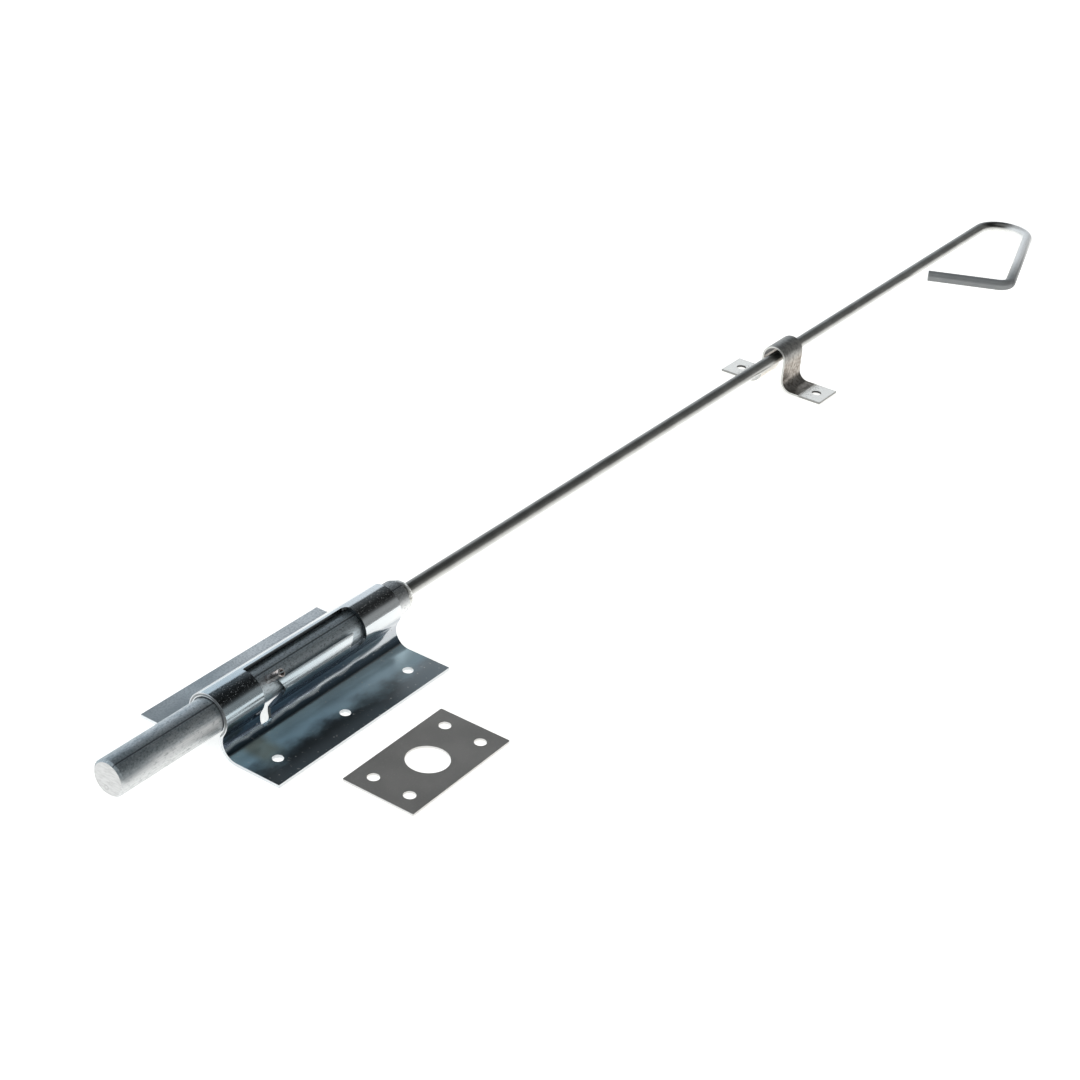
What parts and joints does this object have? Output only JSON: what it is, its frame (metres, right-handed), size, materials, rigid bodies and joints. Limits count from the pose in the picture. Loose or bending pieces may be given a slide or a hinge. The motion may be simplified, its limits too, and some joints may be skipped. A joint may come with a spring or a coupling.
{
  "type": "drop bolt",
  "caption": "Surface drop bolt: a round bolt slides and turns in a folded housing, lifted by a long looped rod, with a rod guide clip and a floor strike plate.",
  "frame": {"origin": "middle of the housing's screw pattern, on the mounting face", "axes": "+X along the bolt from its tip towards the hand loop, +Z out of the mounting face, hand loop on the -Y side"},
  "size_m": [0.9985, 0.1553, 0.038],
  "materials": {
    "zinc_sheet": "bright blue zinc plate on rolled sheet",
    "zinc_bar": "zinc plate on drawn bar",
    "pin_steel": "plain spring steel",
    "zinc_rod": "zinc plate on drawn rod",
    "zinc_weld": "plated weld",
    "zinc_strap": "zinc plate on bent strap",
    "zinc_plate": "dull zinc plate"
  },
  "bodies": {
    "fixed_set": {"housing": "zinc_sheet", "guide_clip": "zinc_strap", "strike_plate": "zinc_plate"},
    "slider": {"weld_bead": "zinc_weld"},
    "bolt_and_rod": {"bolt": "zinc_bar", "roll_pin": "pin_steel", "rod_handle": "zinc_rod"}
  },
  "joints": [
    {"name": "bolt_slide", "type": "slide", "parent": "fixed_set", "child": "slider", "axis": [1, 0, 0], "range_m": [0, 0.068]},
    {"name": "bolt_turn", "type": "hinge", "parent": "slider", "child": "bolt_and_rod", "pos_m": [0.0805, 0, 0.022], "axis": [-1, 0, 0], "range_deg": [-15, 44]}
  ]
}
